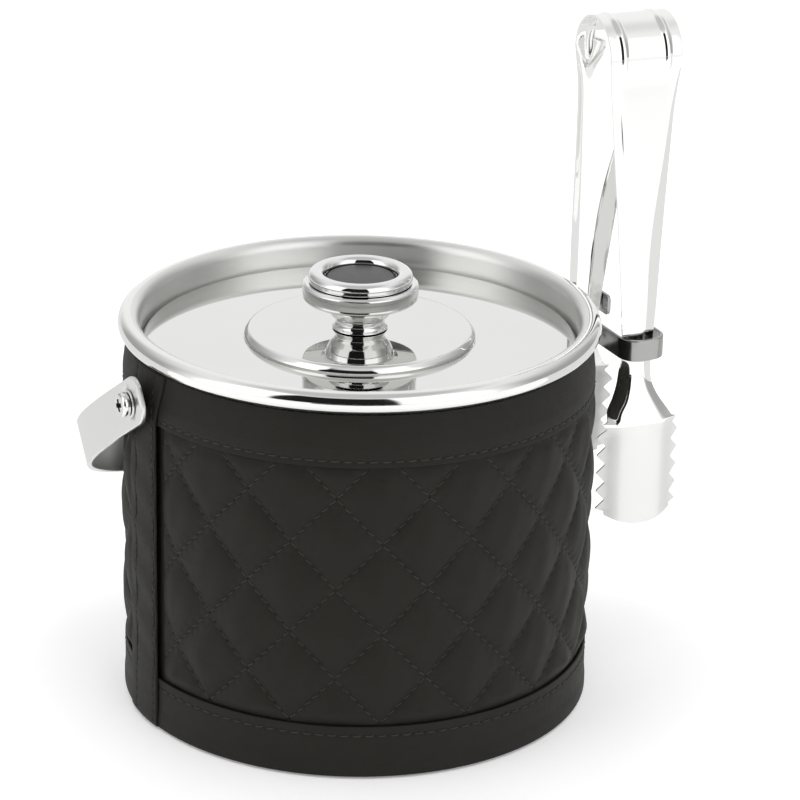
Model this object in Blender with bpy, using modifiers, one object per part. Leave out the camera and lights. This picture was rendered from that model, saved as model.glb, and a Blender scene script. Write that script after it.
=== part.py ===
"""Ice bucket: a double-walled steel bucket in a stitched leather jacket, with a lift-off lid, a swing bail and
spring tongs that hang in a clip beside it.

Row frame: origin at the centre of the base, on the table. +Z is up. +X runs along the bail's pivot axis, towards
the tongs. Lengths below are in millimetres and become metres in mm().
"""

import math

import bmesh
import bpy
from mathutils import Vector

# Vessel
RIM_BEAD_R = 78.8  # radius of the rolled bead's centre line
RIM_BEAD_Z = 134.1
BEAD_TUBE_R = 3.7
LINER_T = 0.7
LINER_R = 71.2  # middle of the bowl's wall
LINER_FLOOR_Z = 17.7
LEDGE_Z = 125.3  # the lid's edge rests here
LEDGE_R = 75.45
SHELL_R_OUT = 78.3
SHELL_R_IN = 77.3
SHELL_TOP_Z = 129.6
BASE_TOP_Z = 6.0

# Leather jacket
QUILT_R_IN = 78.6
QUILT_R = 81.1
QUILT_TUCK_R = 79.5  # the quilt's thin margin, under the bands
BAND_R = 81.0
HEM_R = 81.4
BOTTOM_BAND_Z = 19.3
TOP_BAND_Z = 111.8
JACKET_TOP_Z = 129.9
LEAN_Z = 118.5  # above this the jacket leans in, under the rim
LEAN = 1.4
PANEL_END_DEG = 2.3  # the panels stop this far from the pivot line
STRIP_HALF_DEG = 7.9
STRIP_R_IN = 81.3
STRIP_R_OUT = 82.0

# Pivots
PIVOT_Z = 117.6
SCREW_R = 2.0
DRILL_R = 2.5

# Bail
BAIL_R = 85.6  # the strap's middle, at the pivots
BAIL_REACH = 104.0  # pivot axis to the middle of the crown
BAIL_POWER = 3.2  # how square the bend is; 2 is an ellipse
BAIL_T = 1.8
BAIL_W = 17.0
BAIL_END = 9.5  # the strap runs this far past its pivot
BAIL_CORNER_R = 5.0
BAIL_REST_DEG = 33.0  # the bail lies back this far below level

# Lid
LID_TOP_Z = 128.0
LID_R = 74.7
LID_T = 0.8
DISC_R = 39.4
DISC_TOP_Z = 131.1
PAN_R = 70.2
PAN_FLOOR_Z = 115.0

# Tongs clip: a strap bent into an open C, standing off the right-hand pivot
CLIP_X = 101.25  # middle of the channel
CLIP_HALF_W = 7.75  # half the channel's width
CLIP_NEAR_TUCK = 1.0  # the near hook is bent in by this much
CLIP_TILT_DEG = 2.5  # the near hook hangs lower than the far one
CLIP_T = 1.3
CLIP_H = 7.7
CLIP_Z = 116.3
CLIP_NEAR_Y = -26.3
CLIP_FAR_Y = 26.3
CLIP_LIP_NEAR_Y = -15.0
CLIP_LIP_FAR_Y = 15.0

# Tongs: their own frame has U across the strip, V through the two arms and Z along them, from the bow's centre
TONGS_AT = (102.57, -1.95, 216.6)
TONGS_TURN_DEG = (1.12, 0.92, -4.13)
BOW_R = 14.1
BOW_HALF_W = 13.8
SHEET_T = 0.9
FLEX_GAP = 0.15
TOOTH_PITCH = 6.6
FIRST_TOOTH_Z = -132.4
TEETH = 5

# (z, half width, outer face's distance from the mid plane, depth of the rolled-in edges)
ARM_STATIONS = [
    (-FLEX_GAP, 13.7, 14.1, 0.2),
    (-12.0, 12.1, 14.9, 1.0),
    (-33.0, 10.4, 17.0, 2.2),
    (-62.0, 8.4, 19.9, 2.8),
    (-90.0, 6.5, 21.9, 3.0),
    (-105.0, 5.5, 22.6, 3.0),
    (-112.0, 5.3, 23.2, 3.0),
    (-120.0, 8.2, 25.9, 4.0),
]
TIP_HALF_W = 16.0
ROOT_HALF_W = 12.9
CLAW_BACK = 28.8
TIP_DEPTH = 5.9
ROOT_DEPTH = 3.6

STEEL = ("polished_steel", (0.80, 0.80, 0.79), 0.12, 1.0)
SATIN = ("satin_steel", (0.70, 0.70, 0.69), 0.32, 1.0)
LEATHER = ("black_leather", (0.035, 0.033, 0.030), 0.55, 0.0)
FOAM = ("insulation_foam", (0.85, 0.82, 0.70), 0.95, 0.0)
PLASTIC = ("black_plastic", (0.02, 0.02, 0.02), 0.35, 0.0)
BRASS = ("nickel_brass", (0.72, 0.60, 0.42), 0.25, 1.0)

ROUND_STEPS = 40


def mm(value):
    return value * 0.001


def material(spec):
    name, colour, roughness, metallic = spec
    found = bpy.data.materials.get(name)
    if found:
        return found
    made = bpy.data.materials.new(name)
    made.use_nodes = True
    shader = made.node_tree.nodes["Principled BSDF"]
    shader.inputs["Base Color"].default_value = (*colour, 1.0)
    shader.inputs["Roughness"].default_value = roughness
    shader.inputs["Metallic"].default_value = metallic
    return made


def add_object(name, mesh, spec, collection):
    obj = bpy.data.objects.new(name, mesh)
    collection.objects.link(obj)
    if spec:
        mesh.materials.append(material(spec))
    return obj


def lathe(name, profile, spec, collection, steps=ROUND_STEPS):
    """A turned piece. The profile is (radius, z) points: open when it starts and ends on the axis, else a loop."""
    on_axis = profile[0][0] == 0 and profile[-1][0] == 0
    loop = profile if on_axis else profile + profile[:1]
    turn = sum((b[0] - a[0]) * (b[1] + a[1]) for a, b in zip(loop, loop[1:]))
    if on_axis:
        turn += (profile[0][0] - profile[-1][0]) * (profile[0][1] + profile[-1][1])
    points = profile if turn > 0 else profile[::-1]
    mesh = bpy.data.meshes.new(name)
    edges = [(i, i + 1) for i in range(len(points) - 1)]
    if not on_axis:
        edges.append((len(points) - 1, 0))
    mesh.from_pydata([(mm(r), 0, mm(z)) for r, z in points], edges, [])
    obj = add_object(name, mesh, spec, collection)
    screw = obj.modifiers.new("turned", "SCREW")
    screw.axis = "Z"
    screw.steps = screw.render_steps = steps
    screw.use_merge_vertices = True
    screw.merge_threshold = 0.00001
    screw.use_smooth_shade = True
    return obj


def loft(name, rings, spec, collection, smooth=True):
    """A solid skinned over rings of equal length, with flat ends. Points are in millimetres."""
    mesh = bpy.data.meshes.new(name)
    shape = bmesh.new()
    rows = [[shape.verts.new([mm(c) for c in point]) for point in ring] for ring in rings]
    for row, following in zip(rows, rows[1:]):
        for i in range(len(row)):
            j = (i + 1) % len(row)
            shape.faces.new((row[i], row[j], following[j], following[i]))
    shape.faces.new(rows[0][::-1])
    shape.faces.new(rows[-1])
    bmesh.ops.recalc_face_normals(shape, faces=shape.faces)
    for face in shape.faces:
        face.smooth = smooth
    shape.to_mesh(mesh)
    shape.free()
    return add_object(name, mesh, spec, collection)


def arc_piece(name, profile, start_deg, end_deg, spec, collection, steps):
    """A (radius, z) section swept round the Z axis through part of a turn."""
    rings = []
    for i in range(steps + 1):
        angle = math.radians(start_deg + (end_deg - start_deg) * i / steps)
        rings.append([(r * math.cos(angle), r * math.sin(angle), z) for r, z in profile])
    return loft(name, rings, spec, collection)


def thicken(path, thickness):
    """The closed outline of a sheet: the path moved half a thickness to each side."""
    left, right = [], []
    for i, point in enumerate(path):
        before = Vector(path[max(i - 1, 0)])
        after = Vector(path[min(i + 1, len(path) - 1)])
        here = Vector(point)
        into = (here - before).normalized() if i else (after - here).normalized()
        out = (after - here).normalized() if i < len(path) - 1 else into
        normal = Vector((-(into.y + out.y), into.x + out.x)).normalized()
        reach = thickness / 2 / max(normal.dot(Vector((-into.y, into.x))), 0.5)
        left.append(tuple(here + normal * reach))
        right.append(tuple(here - normal * reach))
    return left + right[::-1]


def arc(centre, radius, start_deg, end_deg, steps):
    cx, cy = centre
    angles = [math.radians(start_deg + (end_deg - start_deg) * i / steps) for i in range(steps + 1)]
    return [(cx + radius * math.cos(a), cy + radius * math.sin(a)) for a in angles]


def cut(obj, cutter):
    boolean = obj.modifiers.new("cut", "BOOLEAN")
    boolean.operation = "DIFFERENCE"
    boolean.solver = "EXACT"
    boolean.object = cutter


def lay_along_x(obj, side):
    """Turns a piece lathed about Z so that its axis points out of the bucket's side, through the pivot."""
    obj.location.z = mm(PIVOT_Z)
    obj.rotation_euler.y = math.radians(90 * side)


for old in list(bpy.data.objects):
    bpy.data.objects.remove(old, do_unlink=True)

bucket = bpy.data.collections.new("ice_bucket")
cutters = bpy.data.collections.new("cutters")
bpy.context.scene.collection.children.link(bucket)
bpy.context.scene.collection.children.link(cutters)
cutters.hide_render = True

# Cutters: the pivot holes through the wall, and the pockets for the nuts in the foam
drill = lathe("pivot_drill", [(0, 95), (DRILL_R, 95), (DRILL_R, -95), (0, -95)], None, cutters, 20)
lay_along_x(drill, 1)
clearance_drill = lathe("clearance_drill", [(0, 96), (2.25, 96), (2.25, -96), (0, -96)], None, cutters, 20)
lay_along_x(clearance_drill, 1)
nut_pockets = []
for side in (-1, 1):
    inner, outer = sorted((side * 71.0, side * 78.0))
    corners = [[(x, y, PIVOT_Z + dz) for y, dz in ((-7, -7), (7, -7), (7, 7), (-7, 7))] for x in (inner, outer)]
    nut_pockets.append(loft(f"nut_pocket_{'left' if side < 0 else 'right'}", corners, None, cutters))
for cutter in (drill, clearance_drill, *nut_pockets):
    cutter.display_type = "WIRE"

# Vessel, from the inside out
liner_path = [(0.0, LINER_FLOOR_Z), (LINER_R - 12, LINER_FLOOR_Z)]
liner_path += arc((LINER_R - 9, LINER_FLOOR_Z + 9), 9, -90, 0, 3)
liner_path += [(LINER_R, LEDGE_Z - 1.2), (LINER_R + 1.2, LEDGE_Z), (LEDGE_R - 0.4, LEDGE_Z)]
liner_path += [(LEDGE_R, LEDGE_Z + 0.4), (LEDGE_R, RIM_BEAD_Z - 1.5)]
liner_path += arc((RIM_BEAD_R, RIM_BEAD_Z), BEAD_TUBE_R - LINER_T / 2, 180, -110, 8)
outline = thicken(liner_path, LINER_T)
outline[0] = (0, outline[0][1])
outline[-1] = (0, outline[-1][1])
inner_liner = lathe("inner_liner", outline, SATIN, bucket)

foam_profile = [(0, 6.3), (76.2, 6.3), (76.8, 7.0), (76.8, 123.4), (71.95, 123.4)]
foam_profile += arc((LINER_R - 9, LINER_FLOOR_Z + 9), 9.75, 0, -90, 6) + [(0, LINER_FLOOR_Z - 0.75)]
insulation_jacket = lathe("insulation_jacket", foam_profile, FOAM, bucket, 40)
for pocket in nut_pockets:
    cut(insulation_jacket, pocket)

shell_profile = [(SHELL_R_IN, 1.9), (SHELL_R_OUT, 1.9), (SHELL_R_OUT, SHELL_TOP_Z), (SHELL_R_IN, SHELL_TOP_Z)]
outer_shell = lathe("outer_shell", shell_profile, SATIN, bucket)
cut(outer_shell, drill)

base_profile = [(0, 1.9), (76.6, 1.9), (77.0, 2.3), (77.0, BASE_TOP_Z), (0, BASE_TOP_Z)]
lathe("base_plate", base_profile, PLASTIC, bucket, 40)
lathe("base_cover", [(0, 0), (77.4, 0), (78.2, 0.5), (78.2, 1.2), (77.8, 1.6), (0, 1.6)], LEATHER, bucket)

# Leather jacket: two quilted panels, a band above and below each, and a strip over each joint
quilt_profile = [(QUILT_R_IN, 9.0), (QUILT_TUCK_R, 9.0), (QUILT_TUCK_R, BOTTOM_BAND_Z - 0.6)]
quilt_profile += [(QUILT_R - 0.7, BOTTOM_BAND_Z + 0.4), (QUILT_R, BOTTOM_BAND_Z + 2.2)]
quilt_profile += [(QUILT_R, TOP_BAND_Z - 2.2), (QUILT_R - 0.7, TOP_BAND_Z - 0.4)]
quilt_profile += [(QUILT_TUCK_R, TOP_BAND_Z + 0.6), (QUILT_TUCK_R, 121.0), (QUILT_R_IN, 121.0)]
top_profile = [(QUILT_TUCK_R + 0.3, TOP_BAND_Z + 0.9), (BAND_R - 0.4, TOP_BAND_Z), (BAND_R, TOP_BAND_Z + 0.6)]
top_profile += [(BAND_R, LEAN_Z), (BAND_R - LEAN, JACKET_TOP_Z - 0.4), (BAND_R - LEAN - 0.4, JACKET_TOP_Z)]
top_profile += [(QUILT_R_IN, JACKET_TOP_Z)]
top_profile += [(QUILT_R_IN, 121.3), (QUILT_TUCK_R + 0.3, 121.3)]
bottom_profile = [(QUILT_R_IN, 2.0), (80.1, 0.9), (HEM_R - 0.9, 0.7), (HEM_R, 1.8), (HEM_R, 4.0), (BAND_R, 8.0)]
bottom_profile += [(BAND_R, BOTTOM_BAND_Z - 0.6), (BAND_R - 0.4, BOTTOM_BAND_Z)]
bottom_profile += [(QUILT_TUCK_R + 0.3, BOTTOM_BAND_Z - 0.9), (QUILT_TUCK_R + 0.3, 8.7), (QUILT_R_IN, 8.7)]
for end, start_deg in (("rear", 0), ("front", -180)):
    span = (start_deg + PANEL_END_DEG, start_deg + 180 - PANEL_END_DEG)
    arc_piece(f"quilted_panel_{end}", quilt_profile, *span, LEATHER, bucket, 24)
    arc_piece(f"top_band_{end}", top_profile, *span, LEATHER, bucket, 24)
    arc_piece(f"bottom_band_{end}", bottom_profile, *span, LEATHER, bucket, 24)

strip_profile = [(HEM_R + 0.2, 1.2), (HEM_R + 0.8, 1.2), (HEM_R + 0.8, 4.4), (STRIP_R_OUT, 8.4)]
strip_profile += [(STRIP_R_OUT, LEAN_Z), (STRIP_R_OUT - LEAN, JACKET_TOP_Z), (STRIP_R_IN - LEAN, JACKET_TOP_Z)]
strip_profile += [(STRIP_R_IN, LEAN_Z), (STRIP_R_IN, 8.2), (HEM_R + 0.2, 4.2)]
for side, middle_deg in (("left", 180), ("right", 0)):
    span = (middle_deg - STRIP_HALF_DEG, middle_deg + STRIP_HALF_DEG)
    cut(arc_piece(f"seam_strip_{side}", strip_profile, *span, LEATHER, bucket, 6), drill)

# Pivot hardware. Each piece is turned about Z and then laid along X
for side, name in ((-1, "left"), (1, "right")):
    bush = [(2.3, 82.2), (4.4, 82.2), (4.4, 84.4), (2.3, 84.4)]
    lay_along_x(lathe(f"pivot_bush_{name}", bush, BRASS, bucket, 16), side)
    hexagon = [(4.0 * math.cos(math.radians(60 * k)), 4.0 * math.sin(math.radians(60 * k))) for k in range(6)]
    nut_rings = [[(side * x, y, PIVOT_Z + dz) for y, dz in hexagon] for x in (73.9, 76.9)]
    cut(loft(f"pivot_nut_{name}", nut_rings, STEEL, bucket, smooth=False), clearance_drill)

washer = [(2.3, 86.8), (5.0, 86.8), (5.0, 87.4), (2.3, 87.4)]
lay_along_x(lathe("pivot_washer_left", washer, STEEL, bucket, 16), -1)
left_screw = [(0, 73.2), (SCREW_R, 73.2), (SCREW_R, 87.65), (4.2, 87.65), (4.2, 89.5), (3.6, 90.1), (2.0, 90.35)]
left_screw += [(0, 90.4)]
lay_along_x(lathe("pivot_screw_left", left_screw, STEEL, bucket, 16), -1)

standoff = [(2.3, 86.8), (3.0, 86.8), (3.0, 91.95), (2.3, 91.95)]
lay_along_x(lathe("clip_standoff", standoff, STEEL, bucket, 16), 1)
right_screw = [(0, 73.2), (SCREW_R, 73.2), (SCREW_R, 93.8), (3.6, 93.8), (3.6, 94.2), (2.9, 94.6), (0, 94.7)]
lay_along_x(lathe("pivot_screw_right", right_screw, STEEL, bucket, 16), 1)

# Clip, walked from its near lip, round the near hook, along the back and round the far hook
half_gap = CLIP_HALF_W + CLIP_T / 2
near_y = CLIP_NEAR_Y + CLIP_T / 2
far_y = CLIP_FAR_Y - CLIP_T / 2
near_x = CLIP_X + half_gap - CLIP_NEAR_TUCK
clip_path = [(near_x, CLIP_LIP_NEAR_Y)]
clip_path += arc((near_x - 5.5, near_y + 5.5), 5.5, 0, -90, 5)
clip_path += arc((CLIP_X - half_gap + 6, near_y + 6), 6, -90, -180, 5)
clip_path += [(CLIP_X - half_gap, -4.0), (CLIP_X - half_gap, 4.0)]
clip_path += arc((CLIP_X - half_gap + 6, far_y - 6), 6, 180, 90, 5)
clip_path += arc((CLIP_X + half_gap - 5, far_y - 5), 5, 90, 0, 5)
clip_path += [(CLIP_X + half_gap, CLIP_LIP_FAR_Y)]
clip_outline = thicken(clip_path, CLIP_T)
count = len(clip_path)
clip_rings = []
for i in range(count):
    (ax, ay), (bx, by) = clip_outline[i], clip_outline[2 * count - 1 - i]
    slope = math.tan(math.radians(CLIP_TILT_DEG))
    low, high = CLIP_Z - CLIP_H / 2, CLIP_Z + CLIP_H / 2
    clip_rings.append([(ax, ay, low + ay * slope), (bx, by, low + by * slope), (bx, by, high + by * slope),
                       (ax, ay, high + ay * slope)])
tongs_clip = loft("tongs_clip", clip_rings, STEEL, bucket, smooth=False)
cut(tongs_clip, clearance_drill)

# Bail: a strap bent to a squared half round, built level and leaned back from its pivot
bail_path = []
BAIL_STEPS = 30
for i in range(BAIL_STEPS + 1):
    angle = math.pi * i / BAIL_STEPS
    across = math.copysign(abs(math.cos(angle)) ** (2 / BAIL_POWER), math.cos(angle))
    bail_path.append((BAIL_R * across, BAIL_REACH * math.sin(angle) ** (2 / BAIL_POWER)))
tail = [-BAIL_END, -BAIL_END + 0.7, -BAIL_END + 2.2, -BAIL_END + BAIL_CORNER_R]
bail_path = [(BAIL_R, y) for y in tail] + bail_path + [(-BAIL_R, y) for y in tail[::-1]]
bail_outline = thicken(bail_path, BAIL_T)
count = len(bail_path)
bail_rings = []
for i in range(count):
    (ax, ay), (bx, by) = bail_outline[i], bail_outline[2 * count - 1 - i]
    past = max(0.0, -bail_path[i][1] - (BAIL_END - BAIL_CORNER_R))
    half_w = BAIL_W / 2 - BAIL_CORNER_R + math.sqrt(BAIL_CORNER_R**2 - past**2)
    bail_rings.append([(ax, ay, -half_w), (bx, by, -half_w), (bx, by, half_w), (ax, ay, half_w)])
bail = loft("bail_handle", bail_rings, STEEL, bucket, smooth=False)
bail.location.z = mm(PIVOT_Z)
bail.rotation_euler.x = math.radians(-BAIL_REST_DEG)
cut(bail, clearance_drill)

# Lid
plate_path = [(2.4, DISC_TOP_Z - LID_T / 2), (DISC_R - 2.2, DISC_TOP_Z - LID_T / 2)]
plate_path += [(DISC_R - 0.7, DISC_TOP_Z - 1.1), (DISC_R, LID_TOP_Z + 0.6), (DISC_R + 0.9, LID_TOP_Z - LID_T / 2)]
plate_path += [(LID_R - 2.0, LID_TOP_Z - LID_T / 2), (LID_R - 0.8, LID_TOP_Z - 0.8), (LID_R - 0.4, LEDGE_Z + 0.7)]
lathe("lid_plate", thicken(plate_path, LID_T), STEEL, bucket)

pan_path = [(2.4, PAN_FLOOR_Z + 0.35), (PAN_R - 4, PAN_FLOOR_Z + 0.35)]
pan_path += arc((PAN_R - 3.35, PAN_FLOOR_Z + 3.35), 3.0, -90, 0, 3)
pan_path += [(PAN_R - 0.35, 125.9), (PAN_R + 0.1, 126.35), (LID_R - 1.6, 126.35)]
lathe("lid_pan", thicken(pan_path, 0.7), SATIN, bucket, 40)
foam_disc = [(2.6, 116.2), (66.0, 116.2), (69.0, 119.0), (69.0, 126.0), (66.0, 126.8), (2.6, 126.8)]
lathe("lid_insulation", foam_disc, FOAM, bucket, 40)

# Knob: a turned bowl on a short neck, a domed ring on its flange and a black disc inside the ring
knob_profile = [(0, 147.7), (18.6, 147.7), (19.5, 147.1), (19.8, 146.2), (19.8, 143.0), (19.3, 142.0)]
knob_profile += [(17.6, 141.7), (12.6, 141.5), (11.4, 140.6), (11.3, 138.8), (10.4, 136.6), (8.9, 135.0)]
knob_profile += [(8.5, 133.6), (8.8, 132.2), (9.6, 131.4), (2.3, 131.4), (2.3, 143.6), (0, 143.6)]
lathe("knob_body", knob_profile, STEEL, bucket, 28)
ring_profile = [(12.2, 148.0), (17.4, 148.0), (18.0, 149.2), (17.6, 150.8), (16.4, 151.8), (15.0, 151.9)]
ring_profile += [(13.2, 151.3), (12.2, 150.0)]
lathe("knob_ring", ring_profile, STEEL, bucket, 28)
lathe("knob_inlay", [(0, 148.0), (11.6, 148.0), (11.9, 148.3), (11.9, 149.4), (11.2, 149.8), (0, 150.0)], PLASTIC,
      bucket, 28)
lathe("knob_washer", [(2.3, 113.9), (6.0, 113.9), (6.0, 114.7), (2.3, 114.7)], STEEL, bucket, 16)
knob_screw = [(0, 111.2), (3.0, 111.6), (3.9, 112.6), (3.9, 113.6), (2.0, 113.6), (2.0, 142.6), (0, 143.0)]
lathe("knob_screw", knob_screw, STEEL, bucket, 16)

# Tongs: one empty holds their frame, and each arm has an empty on the line where it flexes
tongs_frame = bpy.data.objects.new("tongs_frame", None)
bucket.objects.link(tongs_frame)
tongs_frame.location = [mm(c) for c in TONGS_AT]
tongs_frame.rotation_euler = [math.radians(a) for a in TONGS_TURN_DEG]

bow_path = arc((0, 0), BOW_R - SHEET_T / 2, 180, 0, 14)
bow_path[0] = (bow_path[0][0], FLEX_GAP)
bow_path[-1] = (bow_path[-1][0], FLEX_GAP)
bow_outline = thicken(bow_path, SHEET_T)
count = len(bow_path)
bow_rings = []
for i in range(count):
    (av, az), (bv, bz) = bow_outline[i], bow_outline[2 * count - 1 - i]
    bow_rings.append([(-BOW_HALF_W, av, az), (BOW_HALF_W, av, az), (BOW_HALF_W, bv, bz), (-BOW_HALF_W, bv, bz)])
tongs_bow = loft("tongs_bow", bow_rings, STEEL, bucket, smooth=False)
tongs_bow.parent = tongs_frame

stations = [(z, half_w, back, depth) for z, half_w, back, depth in ARM_STATIONS]
stations.append((FIRST_TOOTH_Z + TOOTH_PITCH / 2, ROOT_HALF_W, 28.4, ROOT_DEPTH))
for i in range(TEETH):
    z = FIRST_TOOTH_Z - i * TOOTH_PITCH
    stations.append((z, TIP_HALF_W, CLAW_BACK + 0.1 * (FIRST_TOOTH_Z - z), TIP_DEPTH))
    low = z - TOOTH_PITCH / 2
    stations.append((low, ROOT_HALF_W, CLAW_BACK + 0.1 * (FIRST_TOOTH_Z - low), ROOT_DEPTH))
ACROSS = [-1, -0.7, -0.35, 0, 0.35, 0.7, 1]
for name, side in (("front", -1), ("rear", 1)):
    flex = bpy.data.objects.new(f"tongs_{name}_flex", None)
    bucket.objects.link(flex)
    flex.parent = tongs_frame
    flex.location.y = mm(side * (BOW_R - SHEET_T / 2))
    arm_rings = []
    for row, (z, half_w, back, depth) in enumerate(stations):
        last = row == len(stations) - 1
        outer, inner = [], []
        for u in ACROSS:
            lift = 3.2 * u * u if last else 0.0
            sink = 2.2 if last else 0.0
            fall = depth * u * u
            outer.append((half_w * u, side * (back - fall - BOW_R + SHEET_T / 2), z + lift - sink))
            inner.append((half_w * u * 0.985, side * (back - fall - BOW_R - SHEET_T / 2), z + lift - sink))
        arm_rings.append(outer + inner[::-1])
    arm = loft(f"tongs_{name}_arm", arm_rings, STEEL, bucket, smooth=False)
    arm.parent = flex
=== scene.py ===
"""Looks of the ice bucket: fine steel, quilted leather and thread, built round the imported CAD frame.

Frame: origin at the centre of the base, +Z up, +X along the bail's pivot axis towards the tongs. Lengths below are
in millimetres and angles in degrees; they become metres and radians where a mesh is made.
"""

import math

import bmesh
import bpy
import numpy as np
from mathutils import Euler, Matrix, Vector


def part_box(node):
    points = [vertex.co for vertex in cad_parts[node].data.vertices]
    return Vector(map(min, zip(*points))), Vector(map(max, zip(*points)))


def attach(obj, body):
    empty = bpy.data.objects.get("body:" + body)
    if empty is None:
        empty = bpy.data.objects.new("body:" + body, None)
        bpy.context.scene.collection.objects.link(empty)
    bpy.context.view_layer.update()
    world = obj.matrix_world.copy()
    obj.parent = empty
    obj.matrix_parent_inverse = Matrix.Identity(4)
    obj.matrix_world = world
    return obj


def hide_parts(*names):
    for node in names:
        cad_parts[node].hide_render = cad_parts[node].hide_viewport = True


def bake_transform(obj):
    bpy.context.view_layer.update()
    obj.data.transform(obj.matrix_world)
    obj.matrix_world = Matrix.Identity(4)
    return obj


MM = 0.001


def box_mm(node):
    """Lowest and highest corner of a CAD node, in millimetres."""
    low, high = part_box(node)
    return low / MM, high / MM


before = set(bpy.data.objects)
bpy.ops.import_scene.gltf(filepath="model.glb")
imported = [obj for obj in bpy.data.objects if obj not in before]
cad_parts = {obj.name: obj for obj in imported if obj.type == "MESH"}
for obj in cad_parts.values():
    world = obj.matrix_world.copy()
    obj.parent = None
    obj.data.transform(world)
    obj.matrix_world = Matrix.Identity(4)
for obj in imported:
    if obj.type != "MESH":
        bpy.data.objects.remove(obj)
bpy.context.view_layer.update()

# ================================================================ sizes

# Vessel
LINER_LOW, LINER_HIGH = box_mm("inner_liner")
BEAD_TUBE_R = 3.7
BEAD_R = LINER_HIGH.x - BEAD_TUBE_R
BEAD_Z = LINER_HIGH.z - BEAD_TUBE_R
LINER_T = 0.7
BOWL_R = 71.2
BOWL_FLOOR_Z = LINER_LOW.z + LINER_T / 2
LEDGE_Z = 125.3
LEDGE_R = 75.45

# Leather jacket
JACKET_TOP_Z = box_mm("top_band_front")[1].z
TOP_BAND_Z = box_mm("top_band_front")[0].z
BOTTOM_BAND_Z = box_mm("bottom_band_front")[1].z
JACKET_BACK_R = 78.6
LEAN_Z = 118.5  # above this the jacket leans in, under the rim
LEAN = 1.4
BAND_R = 81.0
HEM_R = 81.3
PANEL_END = 2.3  # the panels stop this far short of the pivot line
STRIP_FRONT = 6.3  # how far a seam strip reaches to the front of the pivot line, in degrees
STRIP_FLARE = 2.6  # and how much further at the rim
STRIP_REAR = 7.9
STRIP_LINES = (-4.0, 5.2)  # its two stitch lines
GROOVE_END = 8.2  # the panel starts here, past the groove beside the strip
STRIP_BACK_R = 81.3
STRIP_R = 82.0

PANEL_RANGE = {"front": (-180.0, 0.0), "rear": (0.0, 180.0)}  # the azimuths between which each panel lies

# Quilting: diamonds between two families of slanting stitch lines
CELL_W = 21.84  # a diamond's width, in degrees round the bucket
CELL_H = 32.3
QUILT_AZIMUTH = {"front": -166.6, "rear": 13.4}  # where one crossing lies on each panel
QUILT_Z = 36.0
SEAM_R = 79.85  # radius of the stitch lines
PUFF = 1.85  # how far the middle of a diamond stands out from them
STITCHES_PER_SIDE = 6
HOLE_PULL = 0.34  # each stitch draws the leather in by this much at its needle hole
HOLE_SPREAD = 0.42
GATHER = 0.07  # and wrinkles it by this much, GATHER_OFF beside its line
GATHER_OFF, GATHER_SPREAD = 1.5, 0.9
BAND_PITCH = 4.2
STRIP_PITCH = 3.2

# Pivots and bail
PIVOT_Z = 117.6
BAIL_R = 85.6
BAIL_REACH = 103.7
BAIL_POWER = 3.2
BAIL_T = 1.8
BAIL_W = 16.4
BAIL_END = 9.1
BAIL_CORNER_R = 5.0
BAIL_REST = 32.5

# Clip
CLIP_LOW, CLIP_HIGH = box_mm("tongs_clip")
CLIP_X = 101.25
CLIP_HALF_W = 7.75
CLIP_T = 1.3
CLIP_LIP_Y = 15.0
CLIP_NEAR_TUCK = 1.0
CLIP_H = 7.7
CLIP_Z = 116.3
CLIP_TILT = 2.5

# Lid and knob
LID_TOP_Z = 128.0
DISC_TOP_Z = 131.1
LID_R = 74.7
LID_T = 0.8
DISC_R = 39.4
PAN_R = 70.2
PAN_FLOOR_Z = 115.0
RING_R = 15.1  # the knob's domed ring: middle of its dome, its height and how much wider than high it is
RING_DOME_R = 2.35
RING_STRETCH = 2.75 / RING_DOME_R
RING_BORE_R = 12.2

# Tongs, in their own frame: U across the strip, V through the two arms, Z along them from the bow's centre
TONGS_AT = (102.57, -1.95, 216.6)
TONGS_TURN = (1.12, 0.92, -4.13)
BOW_R = 14.1
SHEET_T = 0.9
TOOTH_PITCH = 6.6
FIRST_TOOTH_Z = -132.4
TEETH = 5

# ================================================================ mesh tools


def link(name, data):
    """A new object that holds the data, in the scene."""
    obj = bpy.data.objects.new(name, data)
    bpy.context.scene.collection.objects.link(obj)
    return obj


def grid_quads(rows, columns, wrap=False):
    """Quads between points numbered row by row. wrap joins each row's end to its start."""
    r, c = np.meshgrid(np.arange(rows - 1), np.arange(columns if wrap else columns - 1), indexing="ij")
    after = (c + 1) % columns
    quads = (r * columns + c, r * columns + after, (r + 1) * columns + after, (r + 1) * columns + c)
    return np.stack(quads, -1).reshape(-1, 4).tolist()


def make_piece(name, points, faces, materials, sharp=None):
    """An object from points in millimetres, smooth shaded. Faces that meet above sharp degrees keep a crease."""
    mesh = bpy.data.meshes.new(name)
    mesh.from_pydata((np.asarray(points, float) * MM).tolist(), [], faces)
    shape = bmesh.new()
    shape.from_mesh(mesh)
    bmesh.ops.remove_doubles(shape, verts=shape.verts, dist=1e-7)
    bmesh.ops.dissolve_degenerate(shape, edges=shape.edges, dist=1e-8)
    bmesh.ops.recalc_face_normals(shape, faces=shape.faces)
    shape.to_mesh(mesh)
    shape.free()
    for polygon in mesh.polygons:
        polygon.use_smooth = True
    if sharp:
        mesh.set_sharp_from_angle(angle=math.radians(sharp))
    for material in materials if isinstance(materials, (list, tuple)) else [materials]:
        mesh.materials.append(material)
    return link(name, mesh)


def finish_piece(obj, body, slot, *nodes):
    """Puts a rigid piece on its body and hides the CAD nodes that it stands for. The finish's name it is given is
    not used.
    """
    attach(obj, body)
    if nodes:
        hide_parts(*nodes)


def arc(cx, cy, radius, start, end, steps):
    """Points on an arc from one angle to another, in degrees."""
    angles = np.radians(np.linspace(start, end, steps + 1))
    return [(cx + radius * math.cos(a), cy + radius * math.sin(a)) for a in angles]


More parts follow.
